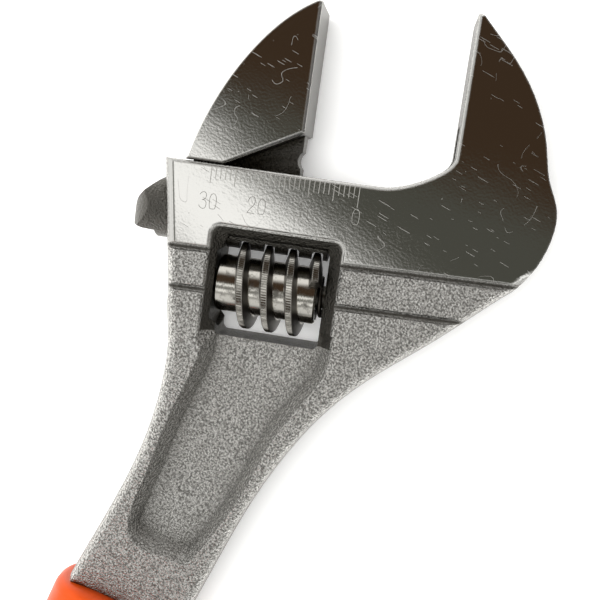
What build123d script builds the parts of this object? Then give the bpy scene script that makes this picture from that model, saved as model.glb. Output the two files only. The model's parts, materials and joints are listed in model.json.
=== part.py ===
from build123d import *
from math import cos, pi, radians, sin, tan
import os

os.makedirs("parts", exist_ok=True)

# An adjustable wrench lying on its side. The drawing's X runs across the handle, Y along it
# towards the jaws and Z through the thickness, with the mid-plane at Z = 0. At the end every
# piece is shifted so that the origin is the centre of the footprint, on the lowest face.

# ---- driving dimensions, mm and degrees ----
jaw_angle = 22.5  # between the handle's line and the jaw faces
jaw_gap = 30.0  # opening in the rest pose
head_half = 8.0  # half thickness of the head
overall_top = 32.9  # highest point of the fixed jaw above the jaw line, along Y
overall_length = 255.0
jaw_origin_x = 14.3  # foot of the fixed jaw's face, from the handle's centre line

shank_radius = 6.4
shank_clearance = 0.09
shank_v = -10.35  # shank axis below the top of the cheeks
shank_left = -64.2
shank_right = -22.5
bore_end = 9.5
web_half = 2.95
slot_half = 3.1

thread_pitch = 5.1
thread_crest_radius = 8.95
thread_root_radius = 6.0
thread_crest_width = 1.35
flank_angle = 14.5
thread_first_top = -40.0  # where the first crest passes the top of the worm
thread_turns = 3.4
thread_start_turn = -0.22
worm_v = -24.35
worm_left = -44.5
worm_right = -23.3
spring_seat_radius = 5.0
spring_seat_depth = 4.0

window_left, window_right = -43.5, -21.7
window_top, window_bottom = -14.5, -34.8
window_slope = 3.1  # how far the bevelled walls lean out on each side
window_floor_z = 4.9
window_corner = 1.2  # corner radius at the floor of the bevels
window_corner_growth = 0.4  # how fast it grows up the bevel

pin_radius = 2.45
pin_clearance = 0.05
pin_head_radius = 3.4
pin_head_left = -54.1
pin_head_length = 4.2
pin_right = -12.5
spring_wire = 0.9
spring_radius = 3.95
spring_turns = 3.6

tooth_width = 2.35
tooth_root_v = -14.85
tooth_count = 7
first_tooth = 3  # spaces to the left of the one on the worm's first crest

groove_radius = 0.8
groove_lift = 0.25  # height of the groove's centre line above the face
groove_tilt = 1.4
groove_lines = (-16.6, -24.9)  # where each groove meets the window's right rim
groove_reference_u = -18.9

grip_top_y = -111.2
grip_side_drop = 4.1
tang_end_y = -203.0
hang_hole_radius = 4.5
hang_hole_inset = 12.5

u_dir = Vector(cos(radians(jaw_angle)), sin(radians(jaw_angle)), 0)
v_dir = Vector(-sin(radians(jaw_angle)), cos(radians(jaw_angle)), 0)
jaw_plane = Plane(origin=(jaw_origin_x, 0, 0), x_dir=u_dir, z_dir=(0, 0, 1))
handle_end_y = overall_top - overall_length


def jaw_point(u, v, z=0):
    """A point given along the slide (u), towards the jaw tips (v) and through the thickness."""
    return jaw_plane.from_local_coords(Vector(u, v, z))


def across_jaw(u, v):
    """A plane whose normal is the slide direction, through a point of the jaw frame."""
    return Plane(origin=jaw_point(u, v), x_dir=v_dir, z_dir=u_dir)


def window_outline(lean):
    """The worm window, grown on every side by the lean of its bevelled walls."""
    left, right = window_left - lean, window_right + lean
    top, bottom = window_top + lean, window_bottom - lean
    with BuildSketch(jaw_plane, mode=Mode.PRIVATE) as flat:
        with Locations(((left + right) / 2, (top + bottom) / 2)):
            corner = window_corner + window_corner_growth * lean
            RectangleRounded(right - left, top - bottom, corner)
    add(flat.sketch)


# ---- cutter for the long recess in each face of the handle ----
recess_height = 5.0
recess_slope = 3.9
recess_tilt = 1.4  # the floor falls towards the grip, as the handle thins
recess_floor_z = 5.7

recess_base = Plane(
    origin=(0, 0, recess_floor_z),
    x_dir=(1, 0, 0),
    z_dir=(0, -sin(radians(recess_tilt)), cos(radians(recess_tilt))),
)

with BuildPart() as recess_cutter:
    for height, lean in ((0, 0), (recess_height, recess_slope)):
        with BuildSketch(recess_base.offset(height)):
            with BuildLine():
                left_top = jaw_point(window_left + 1.2 - lean, -31)
                right_top = jaw_point(window_right + 0.8 + lean, -31)
                left_wall = Spline(
                    left_top,
                    (-10.9 - lean, -51),
                    (-9.4 - lean, -65),
                    (-7.6 - lean, -81),
                    (-6.6 - lean, -91),
                    tangents=((0.15, -1), (0.1, -1)),
                )
                foot = Spline(
                    left_wall @ 1,
                    (-2.5, -95.2 - lean),
                    (3.6, -93.6 - lean),
                    (6.4 + lean, -88),
                    tangents=((0.1, -1), (0.05, 1)),
                )
                right_wall = Spline(
                    foot @ 1,
                    (7.3 + lean, -79),
                    (6.8 + lean, -64),
                    (7.6 + lean, -53.5),
                    (8.9 + lean, -42.5),
                    right_top,
                    tangents=((0.05, 1), (-0.4, 0.9)),
                )
                Line(right_top, left_top)
            make_face()
    loft()

# ---- body: fixed jaw, cheeks and handle, one forging ----
slide_left = -57.7
throat_start = -14.0
throat_top_v = 7.8
corner_u, corner_v = 14.9, -17.0  # where the polished head ends on the right
step_u, step_v = -53.9, -27.5  # the same place on the left
handle_half_top, handle_half_grip = 12.9, 13.4
tang_half = 10.5
forged_edge_radius = 2.2
jaw_bevel = 0.55
slot_end = 0.6
worm_seat_depth = 1.2

with BuildPart() as body:
    with BuildSketch():
        with BuildLine():
            cheek = Line(jaw_point(slide_left, 0), jaw_point(throat_start, 0))
            throat = Spline(
                cheek @ 1,
                jaw_point(-8.0, 1.3),
                jaw_point(-2.6, 4.2),
                jaw_point(0, throat_top_v),
                tangents=(u_dir, v_dir),
            )
            face = Line(throat @ 1, jaw_point(0, 35.0))
            tip = Line(face @ 1, jaw_point(0.7, 35.2))
            jaw_back = Spline(
                tip @ 1,
                jaw_point(4.6, 31.2),
                jaw_point(10.2, 25.0),
                jaw_point(14.2, 18.6),
                jaw_point(16.8, 11.5),
                jaw_point(18.4, 5.4),
                jaw_point(20.5, 0.8),
                jaw_point(20.5, -6.0),
                jaw_point(18.3, -12.0),
                jaw_point(corner_u, corner_v),
            )
            right_side = Spline(
                jaw_back @ 1,
                (26.9, -26.2),
                (20.2, -39.2),
                (15.6, -51.5),
                (handle_half_top, -68.0),
                (handle_half_grip, -112.0),
                tangents=((-0.46, -0.89), (0.01, -1)),
            )
            tang_right = Polyline(
                right_side @ 1, (tang_half, -116), (tang_half, tang_end_y)
            )
            tang_foot = Line(tang_right @ 1, (-tang_half, tang_end_y))
            tang_left = Polyline(
                tang_foot @ 1, (-tang_half, -116), (-handle_half_grip, -112.0)
            )
            left_side = Spline(
                tang_left @ 1,
                (-13.3, -88.0),
                (-14.2, -76.0),
                (-16.4, -65.0),
                (-21.2, -52.9),
                jaw_point(step_u, step_v),
                tangents=((0, 1), (-0.30, 0.954)),
            )
            Line(left_side @ 1, cheek @ 0)
        make_face()
    extrude(amount=head_half, both=True)

    with BuildSketch(Plane.YZ):
        with BuildLine():
            top_flat = Line((45, head_half), (-40, head_half))
            taper = Spline(
                top_flat @ 1, (-112, 5.9), tangents=((-1, 0), (-1, -0.02))
            )
            tang_step = Polyline(taper @ 1, (-116, 4.4), (tang_end_y - 1, 4.0))
            Line(tang_step @ 1, (tang_end_y - 1, 0))
            Line((tang_end_y - 1, 0), (45, 0))
            Line((45, 0), top_flat @ 0)
        make_face()
        mirror(about=Plane.XZ)
    extrude(amount=60, both=True, mode=Mode.INTERSECT)

    # small bevels along the fixed jaw's face, the throat and the top of the cheeks
    bevelled = body.edges().filter_by(
        lambda edge: abs(edge.center().Z) > head_half - 0.05
        and -50 < jaw_plane.to_local_coords(edge.center()).X < 3
        and jaw_plane.to_local_coords(edge.center()).Y > -12
    )
    chamfer(bevelled, length=jaw_bevel)

    # rounded edges of the forged sides
    forged = body.edges().filter_by(
        lambda edge: abs(edge.center().Z) > 6
        and edge.length > 8
        and edge.center().Y < -20
        and abs(edge.center().X) > 5
        and jaw_plane.to_local_coords(edge.center()).Y < -5
    )
    fillet(forged, radius=forged_edge_radius)

    # bevelled window for the worm, cut from both faces
    for side in (1, -1):
        with BuildSketch(Plane.XY.offset(side * window_floor_z)):
            window_outline(0)
        with BuildSketch(Plane.XY.offset(side * (head_half + 0.01))):
            window_outline(window_slope)
        loft(mode=Mode.SUBTRACT)
    with BuildSketch(Plane.XY):
        window_outline(0)
    extrude(amount=head_half, both=True, mode=Mode.SUBTRACT)

    # long recess in each face of the handle
    add(recess_cutter.part, mode=Mode.SUBTRACT)
    add(mirror(recess_cutter.part, about=Plane.XY), mode=Mode.SUBTRACT)

    # slot and blind bore that the movable jaw slides in
    with BuildSketch():
        with BuildLine():
            Polyline(
                jaw_point(slide_left - 5, shank_v),
                jaw_point(slot_end, shank_v),
                jaw_point(slot_end, 14),
                jaw_point(slide_left - 5, 14),
                close=True,
            )
        make_face()
    extrude(amount=slot_half, both=True, mode=Mode.SUBTRACT)
    with BuildSketch(across_jaw(bore_end, shank_v)):
        Circle(shank_radius + shank_clearance)
    extrude(amount=slide_left - 5 - bore_end, mode=Mode.SUBTRACT)

    # worm pin: counterbored hole on the left, blind hole on the right, seat for the worm
    with BuildSketch(across_jaw(pin_right + 0.8, worm_v)):
        Circle(pin_radius)
    extrude(amount=slide_left - pin_right - 2, mode=Mode.SUBTRACT)
    with BuildSketch(across_jaw(pin_head_left + pin_head_length, worm_v)):
        Circle(pin_head_radius)
    extrude(amount=-12, mode=Mode.SUBTRACT)
    with BuildSketch(across_jaw(window_left + 3, worm_v)):
        Circle(thread_crest_radius + 0.35)
    extrude(amount=-(3 + worm_seat_depth), mode=Mode.SUBTRACT)

    # shallow round-bottomed grooves that part the ground head from the forged handle
    groove_angle = radians(jaw_angle + groove_tilt)
    groove_dir = Vector(cos(groove_angle), sin(groove_angle), 0)
    for groove_v in groove_lines:
        for side in (1, -1):
            start = jaw_point(groove_reference_u, groove_v, side * (head_half + groove_lift))
            with BuildSketch(Plane(origin=start - groove_dir * 45, z_dir=groove_dir)):
                Circle(groove_radius)
            extrude(amount=90, mode=Mode.SUBTRACT)

# ---- movable jaw: block, web and toothed shank, one forging ----
block_half = 7.9
block_foot_v = 0.2
block_left = -53.3
block_corner_v = 8.3
web_right = -jaw_gap - 0.4
jaw_tip_v = 33.9
dome_start = -57.0  # where the rounding of the shank's outer end begins
dome_half = 7.0

with BuildPart() as movable_jaw:
    with BuildSketch():
        with BuildLine():
            foot = Line(jaw_point(block_left, block_foot_v), jaw_point(-45.5, block_foot_v))
            lower_edge = Line(foot @ 1, jaw_point(-jaw_gap, block_corner_v))
            working_face = Line(lower_edge @ 1, jaw_point(-jaw_gap, jaw_tip_v))
            jaw_tip = Line(working_face @ 1, jaw_point(-32.0, 33.7))
            Spline(
                jaw_tip @ 1,
                jaw_point(-36.2, 30.7),
                jaw_point(-43.2, 22.9),
                jaw_point(-47.9, 15.2),
                jaw_point(-51.2, 7.6),
                foot @ 0,
            )
        make_face()
    extrude(amount=block_half, both=True)
    chamfer(
        movable_jaw.edges().filter_by(
            lambda edge: abs(edge.center().Z) > block_half - 0.05 and edge.length > 2.5
        ),
        length=jaw_bevel,
    )

    # web that slides between the cheeks, hollowed at its inner end
    with BuildSketch():
        with BuildLine():
            Polyline(
                jaw_point(block_left + 0.6, 4),
                jaw_point(block_left + 0.6, shank_v),
                jaw_point(web_right, shank_v),
                jaw_point(web_right, 9.5),
                close=True,
            )
        make_face()
        with Locations(jaw_point(web_right + 1.5, 3.0)):
            Circle(2.3, mode=Mode.SUBTRACT)
    extrude(amount=web_half, both=True)

    # round shank with its slanted, rounded outer end
    with BuildSketch(across_jaw(shank_right, shank_v)):
        Circle(shank_radius)
    extrude(amount=shank_left - shank_right)
    with BuildSketch():
        with BuildLine():
            trim_top = Line(jaw_point(-53.5, -3), jaw_point(-58.0, -3.6))
            trim_slope = Line(trim_top @ 1, jaw_point(-62.9, -8.6))
            trim_end = ThreePointArc(
                trim_slope @ 1, jaw_point(-64.1, -11.8), jaw_point(-63.6, -14.6)
            )
            Polyline(
                trim_end @ 1,
                jaw_point(-61.5, -15.2),
                jaw_point(-59.0, -15.3),
                jaw_point(-58.4, -20),
                jaw_point(-67, -20),
                jaw_point(-67, 2),
                jaw_point(-53.5, 2),
                trim_top @ 0,
            )
        make_face()
    extrude(amount=10, both=True, mode=Mode.SUBTRACT)

    # the outer end is rounded in plan as well
    end_plane = Plane(origin=jaw_point(0, shank_v), x_dir=u_dir, z_dir=v_dir)
    with BuildSketch(end_plane):
        with BuildLine():
            dome = ThreePointArc(
                (dome_start, dome_half), (shank_left - 0.1, 0), (dome_start, -dome_half)
            )
            Polyline(
                dome @ 1,
                (dome_start, -dome_half - 2),
                (shank_left - 4, -dome_half - 2),
                (shank_left - 4, dome_half + 2),
                (dome_start, dome_half + 2),
                dome @ 0,
            )
        make_face()
    extrude(amount=2 * shank_radius, both=True, mode=Mode.SUBTRACT)

    # rack: round-bottomed tooth spaces, slanted to follow the worm's thread
    mesh_radius = (thread_crest_radius + shank_v - shank_radius - worm_v) / 2
    lead = thread_pitch / (2 * pi * mesh_radius)
    for tooth in range(-first_tooth, tooth_count - first_tooth):
        space_u = thread_first_top + tooth * thread_pitch
        slanted = Plane(
            origin=jaw_point(space_u, tooth_root_v),
            x_dir=u_dir - Vector(0, 0, lead),
            z_dir=u_dir * lead + Vector(0, 0, 1),
        )
        with BuildSketch(slanted):
            with Locations((0, -2.5)):
                RectangleRounded(tooth_width, 5, 0.7)
        extrude(amount=9, both=True, mode=Mode.SUBTRACT)

# ---- worm: single right-hand thread with knurled crests ----
# drawn standing on its left end, with X through the start of the thread
thread_start_u = thread_first_top + thread_start_turn * thread_pitch
thread_height = thread_turns * thread_pitch
thread_depth = thread_crest_radius - thread_root_radius
thread_root_width = thread_crest_width + 2 * thread_depth * tan(radians(flank_angle))
worm_length = worm_right - worm_left
start_angle = radians(thread_start_turn * 360)
worm_plane = Plane(
    origin=jaw_point(worm_left, worm_v),
    x_dir=v_dir * cos(start_angle) + Vector(0, 0, sin(start_angle)),
    z_dir=u_dir,
)

seam_plane = Plane(origin=(0, 0, 0), x_dir=(1, 4, 0), z_dir=(0, 0, 1))  # seam off the thread

with BuildPart() as worm:
    with BuildSketch(seam_plane):
        Circle(thread_root_radius)
        Circle(pin_radius + pin_clearance, mode=Mode.SUBTRACT)
    extrude(amount=worm_length)
    with BuildSketch(seam_plane.offset(worm_length)):
        Circle(spring_seat_radius)
    extrude(amount=-spring_seat_depth, mode=Mode.SUBTRACT)
    outer_rims = worm.edges().filter_by(GeomType.CIRCLE).group_by(SortBy.RADIUS)[-1]
    chamfer(outer_rims, length=0.4)
    with BuildLine() as helix:
        Helix(
            thread_pitch,
            thread_height,
            thread_root_radius,
            center=(0, 0, thread_start_u - worm_left),
        )
    with BuildSketch(Plane(origin=helix.line @ 0, x_dir=(1, 0, 0), z_dir=helix.line % 0)):
        with BuildLine():
            Polyline(
                (-0.5, -thread_root_width / 2),
                (0, -thread_root_width / 2),
                (thread_depth, -thread_crest_width / 2),
                (thread_depth, thread_crest_width / 2),
                (0, thread_root_width / 2),
                (-0.5, thread_root_width / 2),
                close=True,
            )
        make_face()
    sweep(path=helix.line, is_frenet=True)

# ---- worm pin: slotted head on the left, threaded tail in the right wall ----
with BuildPart() as worm_pin:
    with BuildSketch(across_jaw(pin_head_left, worm_v)):
        Circle(pin_radius)
    extrude(amount=pin_right - pin_head_left)
    with BuildSketch(across_jaw(pin_head_left, worm_v)):
        Circle(pin_head_radius)
    extrude(amount=pin_head_length)
    with BuildSketch(across_jaw(pin_head_left, worm_v)):
        Rectangle(1.0, 2 * pin_head_radius + 1, rotation=25)
    extrude(amount=1.3, mode=Mode.SUBTRACT)
    for ring in range(6):
        with BuildSketch(across_jaw(pin_right - 1.2 - 1.2 * ring, worm_v)):
            Circle(pin_radius + 0.2)
            Circle(pin_radius - 0.35, mode=Mode.SUBTRACT)
        extrude(amount=-0.5, mode=Mode.SUBTRACT)

# ---- spring that takes up the worm's end play ----
spring_left = worm_right - spring_seat_depth + spring_wire / 2 + 0.03
spring_right = window_right - spring_wire / 2 - 0.03

spring_length = spring_right - spring_left
spring_plane = across_jaw(spring_left, worm_v)

with BuildPart() as worm_spring:
    with BuildLine() as coil:
        Helix(spring_length / spring_turns, spring_length, spring_radius)
    with BuildSketch(Plane(origin=coil.line @ 0, x_dir=(1, 0, 0), z_dir=coil.line % 0)):
        Circle(spring_wire / 2)
    sweep(path=coil.line, is_frenet=True)

# ---- moulded grip over the tang, with a hang hole ----
grip_sections = (  # distance from the grip's top, half width, half thickness
    (-6.0, 15.0, 8.0),
    (6.0, 15.8, 8.7),
    (16.0, 15.0, 8.1),
    (40.0, 15.6, 8.3),
    (68.0, 16.6, 8.8),
    (92.0, 17.0, 8.8),
    (112.0, 16.6, 8.4),
)
grip_rim_radius = 2.5

with BuildPart() as grip:
    for distance, half_width, half_thickness in grip_sections:
        section_plane = Plane(
            origin=(0, grip_top_y - distance, 0), x_dir=(1, 0, 0), z_dir=(0, -1, 0)
        )
        with BuildSketch(section_plane):
            RectangleRounded(2 * half_width, 2 * half_thickness, half_thickness - 0.8)
    loft()
    with BuildSketch():
        with BuildLine():
            grip_edge = ThreePointArc(
                (-18, grip_top_y - grip_side_drop - 1.0),
                (0, grip_top_y),
                (18, grip_top_y - grip_side_drop - 1.0),
            )
            right_run = Line(grip_edge @ 1, (18, handle_end_y + 13))
            end_arc = ThreePointArc(right_run @ 1, (0, handle_end_y), (-18, handle_end_y + 13))
            Line(end_arc @ 1, grip_edge @ 0)
        make_face()
    extrude(amount=12, both=True, mode=Mode.INTERSECT)
    end_rims = grip.edges().filter_by(
        lambda edge: edge.center().Y > grip_top_y - 8 or edge.center().Y < handle_end_y + 14
    )
    fillet(end_rims.filter_by(lambda edge: abs(edge.center().Z) > 4), radius=grip_rim_radius)
    with BuildSketch():
        with Locations((0, handle_end_y + hang_hole_inset)):
            Circle(hang_hole_radius)
    extrude(amount=12, both=True, mode=Mode.SUBTRACT)
    add(body.part, mode=Mode.SUBTRACT)

# ---- place every piece, shift to the shared origin and write it ----
pieces = {
    "body": body.part,
    "movable_jaw": movable_jaw.part,
    "worm": worm.part.moved(worm_plane.location),
    "worm_pin": worm_pin.part,
    "worm_spring": worm_spring.part.moved(spring_plane.location),
    "grip": grip.part,
}
boxes = [piece.bounding_box() for piece in pieces.values()]
low = [min(getattr(box.min, axis) for box in boxes) for axis in "XYZ"]
high = [max(getattr(box.max, axis) for box in boxes) for axis in "XYZ"]
shift = Location((-(low[0] + high[0]) / 2, -(low[1] + high[1]) / 2, -low[2]))
print("size", [round(h - l, 2) for l, h in zip(low, high)])
print("worm axis", (shift * Location(jaw_point(0, worm_v))).position)
print("shift", shift.position)

for name, piece in pieces.items():
    placed = piece.moved(shift)
    placed.label = name
    export_step(placed, f"parts/{name}.step")
    print(name, round(placed.volume, 1), placed.is_valid, len(placed.solids()))
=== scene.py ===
import json
import math

import bmesh
import bpy
from mathutils import Euler, Matrix, Vector


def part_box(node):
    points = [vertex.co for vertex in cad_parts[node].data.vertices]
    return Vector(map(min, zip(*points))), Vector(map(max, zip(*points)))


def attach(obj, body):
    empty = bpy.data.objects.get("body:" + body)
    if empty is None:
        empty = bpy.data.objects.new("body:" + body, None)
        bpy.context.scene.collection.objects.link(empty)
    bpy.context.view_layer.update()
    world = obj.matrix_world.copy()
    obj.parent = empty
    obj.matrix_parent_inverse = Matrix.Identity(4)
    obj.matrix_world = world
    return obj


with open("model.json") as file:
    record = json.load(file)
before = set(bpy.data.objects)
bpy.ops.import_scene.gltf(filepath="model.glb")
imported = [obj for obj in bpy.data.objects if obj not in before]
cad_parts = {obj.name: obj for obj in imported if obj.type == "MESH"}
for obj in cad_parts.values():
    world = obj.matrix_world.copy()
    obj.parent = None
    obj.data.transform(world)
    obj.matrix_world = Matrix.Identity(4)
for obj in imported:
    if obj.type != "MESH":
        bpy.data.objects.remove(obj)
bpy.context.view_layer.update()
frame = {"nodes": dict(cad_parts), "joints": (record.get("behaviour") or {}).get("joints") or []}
mm = 0.001
print("frame loaded")

# The jaw's slide gives three directions: u along the slide, v towards the jaw tips, z up.
# Places below are in mm from the foot of the fixed jaw, at mid thickness.
joints = {joint["name"]: joint for joint in frame["joints"]}
wormAxis = Vector(joints["worm_turn"]["pos_m"])
slideDir = Vector(joints["jaw_slide"]["axis"]).normalized()
upDir = Vector((0, 0, 1))
tipDir = upDir.cross(slideDir)
wormPoint = {"u": -34.0, "v": -24.35}  # where the worm's joint sits in those directions
jawFoot = wormAxis - (slideDir * wormPoint["u"] + tipDir * wormPoint["v"]) * mm
jawTurn = Matrix((slideDir, tipDir, upDir)).transposed().to_4x4()
headHalf = 8.0


def jawPlace(u, v, z=0.0):
    # mm in the jaw's directions to a place in metres
    return jawFoot + (slideDir * u + tipDir * v + upDir * z) * mm


def fromHex(code):
    # sRGB hex to the linear colour that Blender wants
    parts = [int(code[i:i + 2], 16) / 255 for i in (1, 3, 5)]
    return (*[c / 12.92 if c <= 0.04045 else ((c + 0.055) / 1.055) ** 2.4 for c in parts], 1.0)


def addNode(tree, kind, links=None, **settings):
    # one node with its settings; links gives an input a value, a socket or a node's first output
    node = tree.nodes.new(kind)
    for name, value in settings.items():
        setattr(node, name, value)
    for name, source in (links or {}).items():
        if isinstance(source, bpy.types.Node):
            source = source.outputs[0]
        if isinstance(source, bpy.types.NodeSocket):
            tree.links.new(source, node.inputs[name])
        else:
            node.inputs[name].default_value = source
    return node


def newMaterial(name, **values):
    material = bpy.data.materials.new(name)
    material.use_nodes = True
    tree = material.node_tree
    shader = tree.nodes["Principled BSDF"]
    for socket, value in values.items():
        shader.inputs[socket.replace("_", " ")].default_value = value
    return material, tree, shader


def alongAxis(tree, direction, origin):
    # how far a point of the surface is from origin along a direction, in mm
    place = addNode(tree, "ShaderNodeTexCoord").outputs["Object"]
    away = addNode(tree, "ShaderNodeVectorMath", {0: place, 1: tuple(origin)}, operation="SUBTRACT")
    dot = addNode(
        tree, "ShaderNodeVectorMath", {0: away, 1: tuple(direction / mm)}, operation="DOT_PRODUCT"
    )
    return dot.outputs["Value"]


def setMaterial(obj, material):
    obj.data.materials.clear()
    obj.data.materials.append(material)


# Chrome plate over forged steel. Plating copies what is under it: where the head was ground and
# buffed it is a dark mirror with a fine grain, and on the handle it glitters over pitted scale.
chrome = {
    # dark brown of the painted shade and oil, and of the black scale in the pits
    "plate": "#DAD8D4",
    "shadeAndScale": "#3A362D",  # old oil in corners
    "buffedRoughness": 0.055,
    "edgeRadius": 0.4,  # mm, worn corners
    "grainWidth": 0.5,  # mm, drawn about twice as coarse as a buffing wheel leaves it
    "grainDepth": 0.008,
    "waveWidth": 16.0,  # slow waves from hand grinding
    "waveDepth": 0.05,
    "hairWidth": 11.0,  # size of the curls that hair scratches follow
    "hairLine": 0.0009,
    "patchesPerMetre": 190.0,  # the hair scratches come in patches
    "patchLimit": 0.57,
    "rubWidth": 0.2,  # straight rub marks
    "rubLength": 5.0,
    "rubs": ((35.0, 0.83), (68.0, 0.82), (115.0, 0.835)),  # direction in degrees, and rarity
    "nickSpacing": 3.4,
    "nickSize": 0.03,  # as a share of the spacing
    "scratchDepth": 0.01,
    "scratchRoughness": 0.36,
    "skinWidth": 0.46,  # pits of the forging scale
    "skinDepth": 0.24,
    "flakeRatio": 1.6,  # how much finer the flakes are than the pits
    "skinRoughness": 0.09,
    "speckWidth": 0.42,  # scale left black in the pits
    "speckStrength": 0.7,
    "sideShade": 0.85,  # painted shade on the sides, which were never ground
    "cornerReach": 5.0,  # how far painted shade spreads out of inside corners
}
# the line where the grinding stops, with a second groove below it; the worm's window; and the
# slanted foot of the movable jaw's block; the last value is how much painted shade, with oil in the window,
# lies there
groundEdge = {"u": -18.9, "v": -16.6, "rise": math.tan(math.radians(1.4)), "second": 8.3, "shadeAndOil": 0.85}
window = {"u": -32.6, "v": -23.1, "halfWidth": 13.6, "halfHeight": 10.9, "shadeAndOil": 0.9}
blockFoot = {"startU": -45.5, "rise": 0.5226, "shadeAndOil": 0.86}


def addScratches(tree, place):
    # curled hair scratches, straight rub marks and tiny nicks, 1 where the plate is marked
    curl = addNode(
        tree,
        "ShaderNodeTexNoise",
        {"Vector": place, "Scale": 1 / (chrome["hairWidth"] * mm), "Detail": 1.0, "Distortion": 0.6},
    )
    offLine = addNode(tree, "ShaderNodeMath", {0: curl, 1: 0.5}, operation="SUBTRACT")
    offLine = addNode(tree, "ShaderNodeMath", {0: offLine}, operation="ABSOLUTE")
    hair = addNode(tree, "ShaderNodeMath", {0: offLine, 1: chrome["hairLine"]}, operation="LESS_THAN")
    patches = addNode(
        tree,
        "ShaderNodeTexNoise",
        {"Vector": place, "Scale": chrome["patchesPerMetre"], "Detail": 1.0},
    )
    shown = addNode(tree, "ShaderNodeMath", {0: patches, 1: chrome["patchLimit"]}, operation="GREATER_THAN")
    marks = addNode(tree, "ShaderNodeMath", {0: hair, 1: shown}, operation="MULTIPLY")
    for turn, limit in chrome["rubs"]:
        stretched = addNode(
            tree,
            "ShaderNodeMapping",
            {
                "Vector": place,
                "Rotation": (0, 0, math.radians(turn)),
                "Scale": (1 / (chrome["rubLength"] * mm), 1 / (chrome["rubWidth"] * mm), 1.0),
            },
        )
        streak = addNode(tree, "ShaderNodeTexNoise", {"Vector": stretched, "Scale": 1.0, "Detail": 0.0})
        rub = addNode(tree, "ShaderNodeMath", {0: streak, 1: limit}, operation="GREATER_THAN")
        marks = addNode(tree, "ShaderNodeMath", {0: marks, 1: rub}, operation="MAXIMUM")
    dots = addNode(
        tree,
        "ShaderNodeTexVoronoi",
        {"Vector": place, "Scale": 1 / (chrome["nickSpacing"] * mm), "Randomness": 1.0},
    )
    nick = addNode(tree, "ShaderNodeMath", {0: dots, 1: chrome["nickSize"]}, operation="LESS_THAN")
    return addNode(tree, "ShaderNodeMath", {0: marks, 1: nick}, operation="MAXIMUM")


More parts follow.
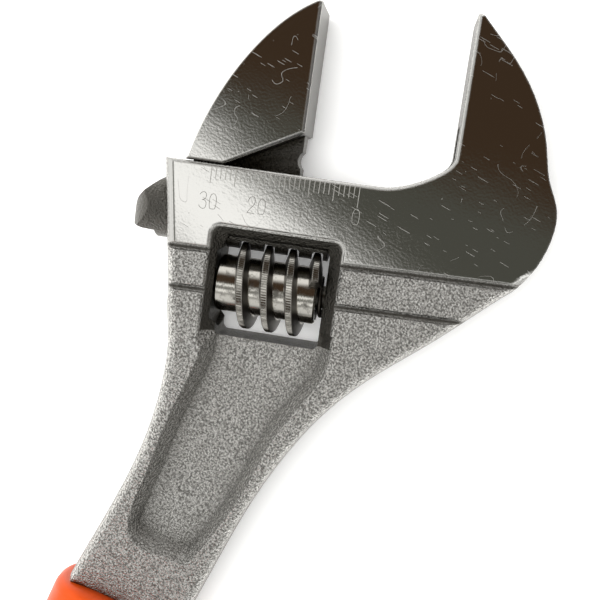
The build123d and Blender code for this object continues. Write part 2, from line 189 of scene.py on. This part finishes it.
def finishChrome(tree, shader, buffed, paintedShade):
    # buffed is 1 on ground faces and 0 on forged skin; the other mask is 1 where shade is painted on, with
    # oil in the worm's window
    place = addNode(tree, "ShaderNodeTexCoord").outputs["Object"]
    forged = addNode(tree, "ShaderNodeMath", {0: 1.0, 1: buffed}, operation="SUBTRACT")
    wave = addNode(tree, "ShaderNodeTexNoise", {"Vector": place, "Scale": 1 / (chrome["waveWidth"] * mm)})
    rounded = addNode(tree, "ShaderNodeBevel", {"Radius": chrome["edgeRadius"] * mm}, samples=4)
    slow = addNode(
        tree,
        "ShaderNodeBump",
        {"Height": wave, "Strength": 1.0, "Distance": chrome["waveDepth"] * mm, "Normal": rounded},
    )
    pits = addNode(
        tree,
        "ShaderNodeTexVoronoi",
        {"Vector": place, "Scale": 1 / (chrome["skinWidth"] * mm), "Smoothness": 0.8},
        feature="SMOOTH_F1",
    )
    flakes = addNode(
        tree,
        "ShaderNodeTexNoise",
        {"Vector": place, "Scale": chrome["flakeRatio"] / (chrome["skinWidth"] * mm), "Detail": 2.0},
    )
    skin = addNode(tree, "ShaderNodeMath", {0: pits, 1: flakes}, operation="ADD")
    skin = addNode(tree, "ShaderNodeMath", {0: skin, 1: forged}, operation="MULTIPLY")
    pitted = addNode(
        tree,
        "ShaderNodeBump",
        {"Height": skin, "Strength": 1.0, "Distance": chrome["skinDepth"] * mm, "Normal": slow},
    )
    grain = addNode(
        tree,
        "ShaderNodeTexNoise",
        {"Vector": place, "Scale": 1 / (chrome["grainWidth"] * mm), "Detail": 2.0},
    )
    grained = addNode(
        tree,
        "ShaderNodeBump",
        {"Height": grain, "Strength": 1.0, "Distance": chrome["grainDepth"] * mm, "Normal": pitted},
    )
    marks = addScratches(tree, place)
    marks = addNode(tree, "ShaderNodeMath", {0: marks, 1: buffed}, operation="MULTIPLY")
    marked = addNode(
        tree,
        "ShaderNodeBump",
        {"Height": marks, "Strength": 0.6, "Distance": chrome["scratchDepth"] * mm, "Normal": grained},
    )
    tree.links.new(marked.outputs["Normal"], shader.inputs["Normal"])
    # roughness: smooth where buffed, wider on skin, scratches and the unground sides
    faceNormal = addNode(tree, "ShaderNodeTexCoord").outputs["Normal"]
    facing = addNode(tree, "ShaderNodeSeparateXYZ", {0: faceNormal})
    upright = addNode(tree, "ShaderNodeMath", {0: facing.outputs["Z"]}, operation="ABSOLUTE")
    side = addNode(
        tree,
        "ShaderNodeMapRange",
        {"Value": upright, "From Min": 0.3, "From Max": 0.7, "To Min": 1.0, "To Max": 0.0},
    )
    rough = addNode(
        tree,
        "ShaderNodeMapRange",
        {"Value": buffed, "To Min": chrome["skinRoughness"], "To Max": chrome["buffedRoughness"]},
    )
    extra = addNode(tree, "ShaderNodeMath", {0: marks, 1: side}, operation="MAXIMUM")
    extra = addNode(tree, "ShaderNodeMath", {0: extra, 1: paintedShade}, operation="MAXIMUM")
    rough = addNode(
        tree, "ShaderNodeMapRange", {"Value": extra, "To Min": rough, "To Max": chrome["scratchRoughness"]}
    )
    tree.links.new(rough.outputs["Result"], shader.inputs["Roughness"])
    # colour: plate, darkened by painted shade on the sides, in inside corners and where the mask lies, and
    # by black scale in the forging's pits
    sideShading = addNode(tree, "ShaderNodeMath", {0: side, 1: chrome["sideShade"]}, operation="MULTIPLY")
    cover = addNode(tree, "ShaderNodeMath", {0: paintedShade, 1: sideShading}, operation="MAXIMUM")
    # painted shade: ambient occlusion darkens inside corners
    corner = addNode(
        tree, "ShaderNodeAmbientOcclusion", {"Distance": chrome["cornerReach"] * mm}, samples=4
    )
    shaded = addNode(
        tree,
        "ShaderNodeMapRange",
        {"Value": corner.outputs["AO"], "From Min": 0.5, "From Max": 0.97, "To Min": 1.0, "To Max": 0.0},
    )
    cover = addNode(tree, "ShaderNodeMath", {0: cover, 1: shaded}, operation="MAXIMUM")
    specks = addNode(
        tree,
        "ShaderNodeTexNoise",
        {"Vector": place, "Scale": 1 / (chrome["speckWidth"] * mm), "Detail": 1.0},
    )
    specks = addNode(
        tree,
        "ShaderNodeMapRange",
        {"Value": specks, "From Min": 0.42, "From Max": 0.66, "To Max": chrome["speckStrength"]},
    )
    specks = addNode(tree, "ShaderNodeMath", {0: specks, 1: forged}, operation="MULTIPLY")
    cover = addNode(tree, "ShaderNodeMath", {0: cover, 1: specks}, operation="MAXIMUM")
    colour = addNode(
        tree,
        "ShaderNodeMixRGB",
        {"Fac": cover, "Color1": fromHex(chrome["plate"]), "Color2": fromHex(chrome["shadeAndScale"])},
    )
    tree.links.new(colour.outputs["Color"], shader.inputs["Base Color"])


def makeBodyMaterial():
    material, tree, shader = newMaterial("chromePlatedForging", Metallic=1.0)
    u = alongAxis(tree, slideDir, jawFoot)
    v = alongAxis(tree, tipDir, jawFoot)
    z = addNode(tree, "ShaderNodeMath", {0: alongAxis(tree, upDir, jawFoot)}, operation="ABSOLUTE")
    # distance above the line where the grinding stops
    along = addNode(tree, "ShaderNodeMath", {0: u, 1: groundEdge["u"]}, operation="SUBTRACT")
    rise = addNode(
        tree,
        "ShaderNodeMath",
        {0: along, 1: groundEdge["rise"], 2: groundEdge["v"]},
        operation="MULTIPLY_ADD",
    )
    above = addNode(tree, "ShaderNodeMath", {0: v, 1: rise}, operation="SUBTRACT")
    head = addNode(tree, "ShaderNodeMapRange", {"Value": above, "From Min": 0.3, "From Max": 0.7})
    inside = addNode(
        tree,
        "ShaderNodeMapRange",
        {"Value": z, "From Min": headHalf - 0.9, "From Max": headHalf - 0.25},
    )
    buffed = addNode(tree, "ShaderNodeMath", {0: head, 1: inside}, operation="MULTIPLY")
    # painted shade in the two grooves
    second = addNode(tree, "ShaderNodeMath", {0: above, 1: groundEdge["second"]}, operation="ADD")
    first = addNode(tree, "ShaderNodeMath", {0: above}, operation="ABSOLUTE")
    second = addNode(tree, "ShaderNodeMath", {0: second}, operation="ABSOLUTE")
    nearest = addNode(tree, "ShaderNodeMath", {0: first, 1: second}, operation="MINIMUM")
    groove = addNode(
        tree,
        "ShaderNodeMapRange",
        {"Value": nearest, "From Min": 0.15, "From Max": 0.6, "To Min": groundEdge["shadeAndOil"], "To Max": 0.0},
    )
    # oil and shade in the worm's window: a box in the jaw's directions, below the faces
    acrossU = addNode(tree, "ShaderNodeMath", {0: u, 1: window["u"]}, operation="SUBTRACT")
    acrossU = addNode(tree, "ShaderNodeMath", {0: acrossU}, operation="ABSOLUTE")
    acrossV = addNode(tree, "ShaderNodeMath", {0: v, 1: window["v"]}, operation="SUBTRACT")
    acrossV = addNode(tree, "ShaderNodeMath", {0: acrossV}, operation="ABSOLUTE")
    insideU = addNode(tree, "ShaderNodeMath", {0: acrossU, 1: window["halfWidth"]}, operation="LESS_THAN")
    insideV = addNode(tree, "ShaderNodeMath", {0: acrossV, 1: window["halfHeight"]}, operation="LESS_THAN")
    below = addNode(
        tree,
        "ShaderNodeMapRange",
        {
            "Value": z,
            "From Min": headHalf - 0.7,
            "From Max": headHalf - 0.2,
            "To Min": window["shadeAndOil"],
            "To Max": 0.0,
        },
    )
    windowShadeAndOil = addNode(tree, "ShaderNodeMath", {0: insideU, 1: insideV}, operation="MULTIPLY")
    windowShadeAndOil = addNode(tree, "ShaderNodeMath", {0: windowShadeAndOil, 1: below}, operation="MULTIPLY")
    paintedShade = addNode(tree, "ShaderNodeMath", {0: groove, 1: windowShadeAndOil}, operation="MAXIMUM")
    finishChrome(tree, shader, buffed.outputs[0], paintedShade.outputs[0])
    return material


def makeJawMaterial():
    material, tree, shader = newMaterial("buffedChrome", Metallic=1.0)
    # the web and shank lie below the slanted foot of the block and stay as forged; shade is painted on them
    u = alongAxis(tree, slideDir, jawFoot)
    v = alongAxis(tree, tipDir, jawFoot)
    slant = addNode(tree, "ShaderNodeMath", {0: u, 1: blockFoot["startU"]}, operation="SUBTRACT")
    slant = addNode(tree, "ShaderNodeMath", {0: slant, 1: blockFoot["rise"]}, operation="MULTIPLY")
    slant = addNode(tree, "ShaderNodeMath", {0: slant, 1: 0.0}, operation="MAXIMUM")
    lift = addNode(tree, "ShaderNodeMath", {0: v, 1: slant}, operation="SUBTRACT")
    block = addNode(tree, "ShaderNodeMapRange", {"Value": lift, "From Min": 0.05, "From Max": 0.2})
    paintedShade = addNode(tree, "ShaderNodeMapRange", {"Value": block, "To Min": blockFoot["shadeAndOil"], "To Max": 0.0})
    finishChrome(tree, shader, block.outputs[0], paintedShade.outputs[0])
    return material


setMaterial(frame["nodes"]["body"], makeBodyMaterial())
setMaterial(frame["nodes"]["movable_jaw"], makeJawMaterial())
print("chrome done")


# Turned steel, nickel bright: rings from the lathe, painted shade on the flanks of the thread, and smears
# of oil.
worm = {
    "steel": "#D6D2CA",
    # dark for the painted shade on the flanks and for the oil smears
    "shadeAndOil": "#37322A",
    "roughness": 0.14,
    "oilRoughness": 0.4,
    "ringWidth": 0.3,
    "ringDepth": 0.012,
    "smearWidth": 2.2,
    "rootRadius": 6.0,
    "crestRadius": 8.95,
    "pitch": 5.1,
    "turns": 3.4,
    "startTurn": -0.22,
    "firstTopU": -40.0,
    "crestWidth": 1.3,
    "ribs": 112,  # round one turn, half a millimetre apart
    "ribHeight": 0.12,
    "ribLand": 0.16,  # plain edge left on each side of the ribs
    "bandClear": 0.01,  # the band's plain surface stands this far off the crest
    "bandSunk": 0.15,
}


def makeWormMaterial():
    material, tree, shader = newMaterial("turnedSteel", Metallic=1.0)
    v = alongAxis(tree, tipDir, wormAxis)
    z = alongAxis(tree, upDir, wormAxis)
    u = alongAxis(tree, slideDir, wormAxis)
    vSquared = addNode(tree, "ShaderNodeMath", {0: v, 1: v}, operation="MULTIPLY")
    squared = addNode(tree, "ShaderNodeMath", {0: z, 1: z, 2: vSquared}, operation="MULTIPLY_ADD")
    radius = addNode(tree, "ShaderNodeMath", {0: squared, 1: 0.5}, operation="POWER")
    # painted shade on the flanks, between the root and the crest of the thread
    rising = addNode(
        tree,
        "ShaderNodeMapRange",
        {"Value": radius, "From Min": worm["rootRadius"] + 0.05, "From Max": worm["rootRadius"] + 0.5},
    )
    falling = addNode(
        tree,
        "ShaderNodeMapRange",
        {
            "Value": radius,
            "From Min": worm["crestRadius"] - 0.02,
            "From Max": worm["crestRadius"] + 0.09,
            "To Min": 0.85,
            "To Max": 0.0,
        },
    )
    shadeAndOil = addNode(tree, "ShaderNodeMath", {0: rising, 1: falling}, operation="MULTIPLY")
    place = addNode(tree, "ShaderNodeTexCoord").outputs["Object"]
    smears = addNode(
        tree,
        "ShaderNodeTexNoise",
        {"Vector": place, "Scale": 1 / (worm["smearWidth"] * mm), "Detail": 4.0, "Roughness": 0.6},
    )
    smeared = addNode(
        tree, "ShaderNodeMapRange", {"Value": smears, "From Min": 0.5, "From Max": 0.66, "To Max": 0.7}
    )
    shadeAndOil = addNode(tree, "ShaderNodeMath", {0: shadeAndOil, 1: smeared}, operation="MAXIMUM")
    colour = addNode(
        tree,
        "ShaderNodeMixRGB",
        {"Fac": shadeAndOil, "Color1": fromHex(worm["steel"]), "Color2": fromHex(worm["shadeAndOil"])},
    )
    tree.links.new(colour.outputs["Color"], shader.inputs["Base Color"])
    rings = addNode(
        tree,
        "ShaderNodeTexNoise",
        {"W": u, "Scale": 1 / worm["ringWidth"], "Detail": 2.0},
        noise_dimensions="1D",
    )
    bump = addNode(
        tree, "ShaderNodeBump", {"Height": rings, "Strength": 1.0, "Distance": worm["ringDepth"] * mm}
    )
    tree.links.new(bump.outputs["Normal"], shader.inputs["Normal"])
    rough = addNode(
        tree,
        "ShaderNodeMapRange",
        {"Value": shadeAndOil, "To Min": worm["roughness"], "To Max": worm["oilRoughness"]},
    )
    tree.links.new(rough.outputs["Result"], shader.inputs["Roughness"])
    return material


def linkPiece(name, mesh, material, body):
    obj = bpy.data.objects.new(name, mesh)
    bpy.context.scene.collection.objects.link(obj)
    setMaterial(obj, material)
    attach(obj, body)
    return obj


def makeKnurl(material):
    # a ribbed band along the crest of the thread, closed underneath
    bm = bmesh.new()
    half = worm["crestWidth"] / 2
    land = half - worm["ribLand"]
    steps = int(worm["ribs"] * 2 * worm["turns"])
    rows = []
    for step in range(steps + 1):
        turn = step / (worm["ribs"] * 2)
        angle = 2 * math.pi * (worm["startTurn"] + turn)
        axial = worm["firstTopU"] - wormPoint["u"] + worm["pitch"] * (worm["startTurn"] + turn)
        rib = worm["crestRadius"] + (worm["ribHeight"] if step % 2 else worm["bandClear"])
        flat = worm["crestRadius"] + worm["bandClear"]
        buried = worm["crestRadius"] - worm["bandSunk"]
        outward = tipDir * math.cos(angle) + upDir * math.sin(angle)
        row = []
        section = (
            (-half, buried), (-half, flat), (-land, rib), (land, rib), (half, flat), (half, buried)
        )
        for offset, radius in section:
            row.append(bm.verts.new(wormAxis + (slideDir * (axial + offset) + outward * radius) * mm))
        rows.append(row)
    for before, after in zip(rows, rows[1:]):
        for i in range(len(before)):
            j = (i + 1) % len(before)
            bm.faces.new((before[i], before[j], after[j], after[i]))
    bm.faces.new(rows[0][::-1])
    bm.faces.new(rows[-1])
    bmesh.ops.recalc_face_normals(bm, faces=bm.faces)
    mesh = bpy.data.meshes.new("wormKnurl")
    bm.to_mesh(mesh)
    bm.free()
    return linkPiece("worm_knurl", mesh, material, "adjuster")


wormMaterial = makeWormMaterial()
setMaterial(frame["nodes"]["worm"], wormMaterial)
makeKnurl(wormMaterial)
print("worm done")


# Plain steel, turned and oiled on the pin, drawn and darkened on the spring: dull grey gleams,
# broken by a slight mottle.
pin = {"steel": "#8C8880", "roughness": 0.22, "grainWidth": 1.0}
spring = {"steel": "#5A5650", "roughness": 0.28, "grainWidth": 0.6}
mottle = {"darkest": 0.7, "addedRoughness": 0.2}  # shared by both and by the scale's marks


def makePlainSteel(name, look):
    material, tree, shader = newMaterial(name, Metallic=1.0)
    place = addNode(tree, "ShaderNodeTexCoord").outputs["Object"]
    grain = addNode(
        tree,
        "ShaderNodeTexNoise",
        {"Vector": place, "Scale": 1 / (look["grainWidth"] * mm), "Detail": 3.0},
    )
    dullest = look["roughness"] + mottle["addedRoughness"]
    rough = addNode(
        tree, "ShaderNodeMapRange", {"Value": grain, "To Min": look["roughness"], "To Max": dullest}
    )
    tree.links.new(rough.outputs["Result"], shader.inputs["Roughness"])
    steel = fromHex(look["steel"])
    darker = (*[c * mottle["darkest"] for c in steel[:3]], 1.0)
    colour = addNode(tree, "ShaderNodeMixRGB", {"Fac": grain, "Color1": darker, "Color2": steel})
    tree.links.new(colour.outputs["Color"], shader.inputs["Base Color"])
    return material


setMaterial(frame["nodes"]["worm_pin"], makePlainSteel("oiledSteel", pin))
setMaterial(frame["nodes"]["worm_spring"], makePlainSteel("springSteel", spring))

# Injection moulded polypropylene: satin, with a spark-eroded grain and painted shade where the steel
# enters.
gripLook = {
    "plastic": "#C24302",
    "contactShade": "#5E1606",
    "roughness": 0.38,
    "grainWidth": 0.6,
    "grainDepth": 0.02,
    "shadeReach": 3.0,
    "patchesPerMetre": 350.0,
}


def makeGripMaterial():
    material, tree, shader = newMaterial(
        "mouldedPolypropylene", Roughness=gripLook["roughness"], Specular_IOR_Level=0.35
    )
    place = addNode(tree, "ShaderNodeTexCoord").outputs["Object"]
    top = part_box("grip")[1]
    centre = Vector((0.0, top.y, 0.0))
    down = alongAxis(tree, Vector((0, -1, 0)), centre)
    # painted shade where the steel enters the grip, broken up in patches
    paintedShade = addNode(
        tree,
        "ShaderNodeMapRange",
        {"Value": down, "From Min": 0.3, "From Max": gripLook["shadeReach"], "To Min": 0.75, "To Max": 0.0},
    )
    patches = addNode(
        tree,
        "ShaderNodeTexNoise",
        {"Vector": place, "Scale": gripLook["patchesPerMetre"], "Detail": 3.0},
    )
    paintedShade = addNode(tree, "ShaderNodeMath", {0: paintedShade, 1: patches}, operation="MULTIPLY")
    colour = addNode(
        tree,
        "ShaderNodeMixRGB",
        {"Fac": paintedShade, "Color1": fromHex(gripLook["plastic"]), "Color2": fromHex(gripLook["contactShade"])},
    )
    tree.links.new(colour.outputs["Color"], shader.inputs["Base Color"])
    grain = addNode(
        tree,
        "ShaderNodeTexNoise",
        {"Vector": place, "Scale": 1 / (gripLook["grainWidth"] * mm), "Detail": 3.0},
    )
    bump = addNode(
        tree, "ShaderNodeBump", {"Height": grain, "Strength": 1.0, "Distance": gripLook["grainDepth"] * mm}
    )
    tree.links.new(bump.outputs["Normal"], shader.inputs["Normal"])
    return material


setMaterial(frame["nodes"]["grip"], makeGripMaterial())
print("pin, spring and grip done")

# Millimetre scale along the front cheek: fine lines raised by etching what lies between them.
scale = {
    "zeroU": -17.55,
    "count": 31,
    "width": 0.15,
    "short": 2.3,
    "long": 3.4,
    "zero": 4.1,
    "startV": -0.56,
    "proud": 0.012,
    "digitHeight": 3.1,
    "digitWidth": 1.55,
    "digitGap": 0.55,
    "strokeRadius": 0.08,
    "strokeSunk": 0.7,  # of that radius
    "digitTopV": -4.9,
    "digitFall": 0.035,  # the row of numbers drops away from the edge towards the left
    "etched": {"steel": "#FBF9F4", "roughness": 0.55, "grainWidth": 0.5},
    "faded": {"steel": "#A5A29B", "roughness": 0.25, "grainWidth": 0.5},
}
strokes = {  # each digit's strokes in a box one wide and one high
    "0": [[(0.5, 1), (0.05, 0.98), (0.05, 0.02), (0.5, 0), (0.95, 0.02), (0.95, 0.98), (0.5, 1)]],
    "1": [[(0.2, 0.78), (0.55, 1.0)], [(0.55, 1.0), (0.55, 0.0)]],
    "2": [
        [(0.05, 0.72), (0.1, 1.02), (0.9, 1.08), (0.95, 0.6), (0.4, 0.3), (0.02, 0.0)],
        [(0.02, 0), (0.98, 0)],
    ],
    "3": [
        [(0.08, 0.86), (0.3, 1.06), (0.92, 1.02), (0.92, 0.56), (0.4, 0.53)],
        [(0.4, 0.53), (1.0, 0.55), (1.0, -0.02), (0.3, -0.06), (0.04, 0.16)],
    ],
}


def makeTicks(material):
    bm = bmesh.new()
    for tick in range(scale["count"]):
        length = scale["zero"] if tick == 0 else scale["long"] if tick % 5 == 0 else scale["short"]
        centre = jawPlace(scale["zeroU"] - tick, scale["startV"] - length / 2, headHalf)
        size = Matrix.Diagonal((scale["width"] * mm, length * mm, 2 * scale["proud"] * mm, 1))
        bmesh.ops.create_cube(bm, size=1, matrix=Matrix.Translation(centre) @ jawTurn @ size)
    mesh = bpy.data.meshes.new("scaleTicks")
    bm.to_mesh(mesh)
    bm.free()
    return linkPiece("scale_ticks", mesh, material, "wrench_body")


def makeNumber(text, tick, material):
    curve = bpy.data.curves.new("number" + text, "CURVE")
    curve.dimensions = "3D"
    curve.bevel_depth = scale["strokeRadius"] * mm
    curve.bevel_resolution = 1
    step = scale["digitWidth"] + scale["digitGap"]
    left = scale["zeroU"] - tick - (len(text) * step - scale["digitGap"]) / 2
    top = scale["digitTopV"] - scale["digitFall"] * tick
    for place, digit in enumerate(text):
        for stroke in strokes[digit]:
            line = curve.splines.new("NURBS")
            line.points.add(len(stroke) - 1)
            for point, (x, y) in zip(line.points, stroke):
                u = left + place * step + x * scale["digitWidth"]
                v = top - (1 - y) * scale["digitHeight"]
                point.co = (*jawPlace(u, v, headHalf - scale["strokeSunk"] * scale["strokeRadius"]), 1.0)
            line.order_u = 3
            line.use_endpoint_u = True
            line.resolution_u = 6
    curveObject = bpy.data.objects.new("strokes", curve)
    bpy.context.scene.collection.objects.link(curveObject)
    bpy.context.view_layer.update()
    evaluated = curveObject.evaluated_get(bpy.context.evaluated_depsgraph_get())
    mesh = bpy.data.meshes.new_from_object(evaluated)
    bpy.data.objects.remove(curveObject)
    return linkPiece("scale_number_" + text, mesh, material, "wrench_body")


etched = makePlainSteel("etchedChrome", scale["etched"])
faded = makePlainSteel("wornEtchedChrome", scale["faded"])
makeTicks(etched)
makeNumber("0", 0, etched)
makeNumber("10", 10, faded)
makeNumber("20", 20, faded)
makeNumber("30", 30, faded)
print("scale done")

# White laminated board under the wrench: matt, even and a touch brighter than its light.
board = {"white": "#F7F7F6", "roughness": 0.8, "half": 2.0, "glow": 0.22}
floorMesh = bpy.data.meshes.new("floor")
corners = [(x * board["half"], y * board["half"], 0) for x, y in ((-1, -1), (1, -1), (1, 1), (-1, 1))]
floorMesh.from_pydata(corners, [], [(0, 1, 2, 3)])
floor = bpy.data.objects.new("floor", floorMesh)
bpy.context.scene.collection.objects.link(floor)
boardMaterial = newMaterial(
    "laminatedBoard",
    Base_Color=fromHex(board["white"]),
    Roughness=board["roughness"],
    Emission_Color=fromHex(board["white"]),
    Emission_Strength=board["glow"],
)[0]
setMaterial(floor, boardMaterial)

# The room: pale tent all round, a dark opening overhead whose near edge is soft and slanted,
# and a dim band at the horizon that draws thin dark lines along the rounded edges.
room = {
    "pale": (1.25, 1.26, 1.25, 1),
    "brown": (0.055, 0.034, 0.02, 1),
    "grey": (0.085, 0.086, 0.072, 1),
    "slant": (-0.2, -1.0, 0.0),  # the levels run towards the grip and a little left
    "reach": 1.5,  # slope at which the levels end
    "leastSteep": 0.05,  # keeps the slope finite at the horizon
}
world = bpy.data.worlds.new("tent")
bpy.context.scene.world = world
world.use_nodes = True
worldTree = world.node_tree
background = worldTree.nodes["Background"]
ray = addNode(worldTree, "ShaderNodeTexCoord").outputs["Generated"]
parts = addNode(worldTree, "ShaderNodeSeparateXYZ", {0: ray})
slant = addNode(
    worldTree, "ShaderNodeVectorMath", {0: ray, 1: room["slant"]}, operation="DOT_PRODUCT"
).outputs["Value"]
steep = addNode(
    worldTree, "ShaderNodeMath", {0: parts.outputs["Z"], 1: room["leastSteep"]}, operation="MAXIMUM"
)
near = addNode(worldTree, "ShaderNodeMath", {0: slant, 1: steep}, operation="DIVIDE")
# how bright the tent is from straight overhead down towards the grip's side
levels = (
    (0.055, 0.0), (0.09, 0.14), (0.115, 0.55), (0.14, 1.0), (0.2, 1.0), (0.27, 0.12),
    (0.42, 0.06), (0.52, 0.9), (0.64, 1.0), (0.78, 0.15), (1.1, 0.6), (1.5, 0.3),
)
span = addNode(worldTree, "ShaderNodeMath", {0: near, 1: room["reach"]}, operation="DIVIDE")
edge = addNode(worldTree, "ShaderNodeValToRGB", {"Fac": span})
while len(edge.color_ramp.elements) < len(levels):
    edge.color_ramp.elements.new(1.0)
for element, (slope, level) in zip(edge.color_ramp.elements, levels):
    element.position = slope / room["reach"]
    element.color = (level, level, level, 1)
ring = addNode(
    worldTree,
    "ShaderNodeMapRange",
    {"Value": parts.outputs["Z"], "From Min": 0.82, "From Max": 0.62, "To Max": 0.8},
)
dimmer = addNode(
    worldTree,
    "ShaderNodeMapRange",
    {"Value": parts.outputs["X"], "From Min": -0.2, "From Max": 0.5, "To Min": 1.0, "To Max": 0.5},
)
ring = addNode(worldTree, "ShaderNodeMath", {0: ring, 1: dimmer}, operation="MULTIPLY")
openPart = addNode(worldTree, "ShaderNodeMath", {0: edge, 1: ring}, operation="MAXIMUM")
rightward = addNode(worldTree, "ShaderNodeMath", {0: parts.outputs["X"], 1: steep}, operation="DIVIDE")
rightward = addNode(
    worldTree, "ShaderNodeMath", {0: rightward, 1: 0.35, 2: near}, operation="MULTIPLY_ADD"
)
tone = addNode(
    worldTree, "ShaderNodeMapRange", {"Value": rightward, "From Min": -0.06, "From Max": 0.0}
)
overhead = addNode(
    worldTree, "ShaderNodeMixRGB", {"Fac": tone, "Color1": room["brown"], "Color2": room["grey"]}
)
sky = addNode(
    worldTree, "ShaderNodeMixRGB", {"Fac": openPart, "Color1": overhead, "Color2": room["pale"]}
)
horizon = addNode(
    worldTree,
    "ShaderNodeMapRange",
    {"Value": parts.outputs["X"], "From Min": -0.2, "From Max": 0.3, "To Min": 0.6, "To Max": 0.03},
)
lowBand = addNode(
    worldTree,
    "ShaderNodeMapRange",
    {
        "Value": parts.outputs["Z"],
        "From Min": 0.06,
        "From Max": 0.3,
        "To Min": horizon,
        "To Max": 1.0,
    },
)
shade = addNode(worldTree, "ShaderNodeVectorMath", {0: sky, "Scale": lowBand}, operation="SCALE")
worldTree.links.new(shade.outputs[0], background.inputs["Color"])
background.inputs["Strength"].default_value = 1.0

# soft light from above that the metal doesn't mirror
lamps = {
    "overheadSoftbox": {"place": (-0.15, 0.1, 0.9), "size": 0.7, "power": 9.0},
    "leftSoftbox": {"place": (-0.6, 0.0, 0.5), "size": 0.4, "power": 3.0},
}
aim = Vector((0, 0.08, 0))
for name, spec in lamps.items():
    lamp = bpy.data.lights.new(name, "AREA")
    lamp.energy = spec["power"]
    lamp.size = spec["size"]
    lampObject = bpy.data.objects.new(name, lamp)
    bpy.context.scene.collection.objects.link(lampObject)
    lampObject.location = spec["place"]
    lampObject.rotation_euler = (aim - lampObject.location).to_track_quat("-Z", "Y").to_euler()
    lampObject.visible_glossy = False
bpy.context.scene.view_settings.view_transform = "Standard"

# camera above the worm, tilted a little towards the grip
view = {
    "lens": 54.0,
    "sensor": 36.0,
    "fromWorm": (14.772, 32.768, 186.928),  # mm
    "turn": (-6.968, 6.917, 30.548),
}
camera = bpy.data.cameras.new("camera")
camera.lens = view["lens"]
camera.sensor_width = view["sensor"]
camera.clip_start = 0.01
cameraObject = bpy.data.objects.new("camera", camera)
bpy.context.scene.collection.objects.link(cameraObject)
cameraObject.location = wormAxis + Vector(view["fromWorm"]) * mm
cameraObject.rotation_euler = Euler([math.radians(a) for a in view["turn"]])
bpy.context.scene.camera = cameraObject
print("board, room and camera done")
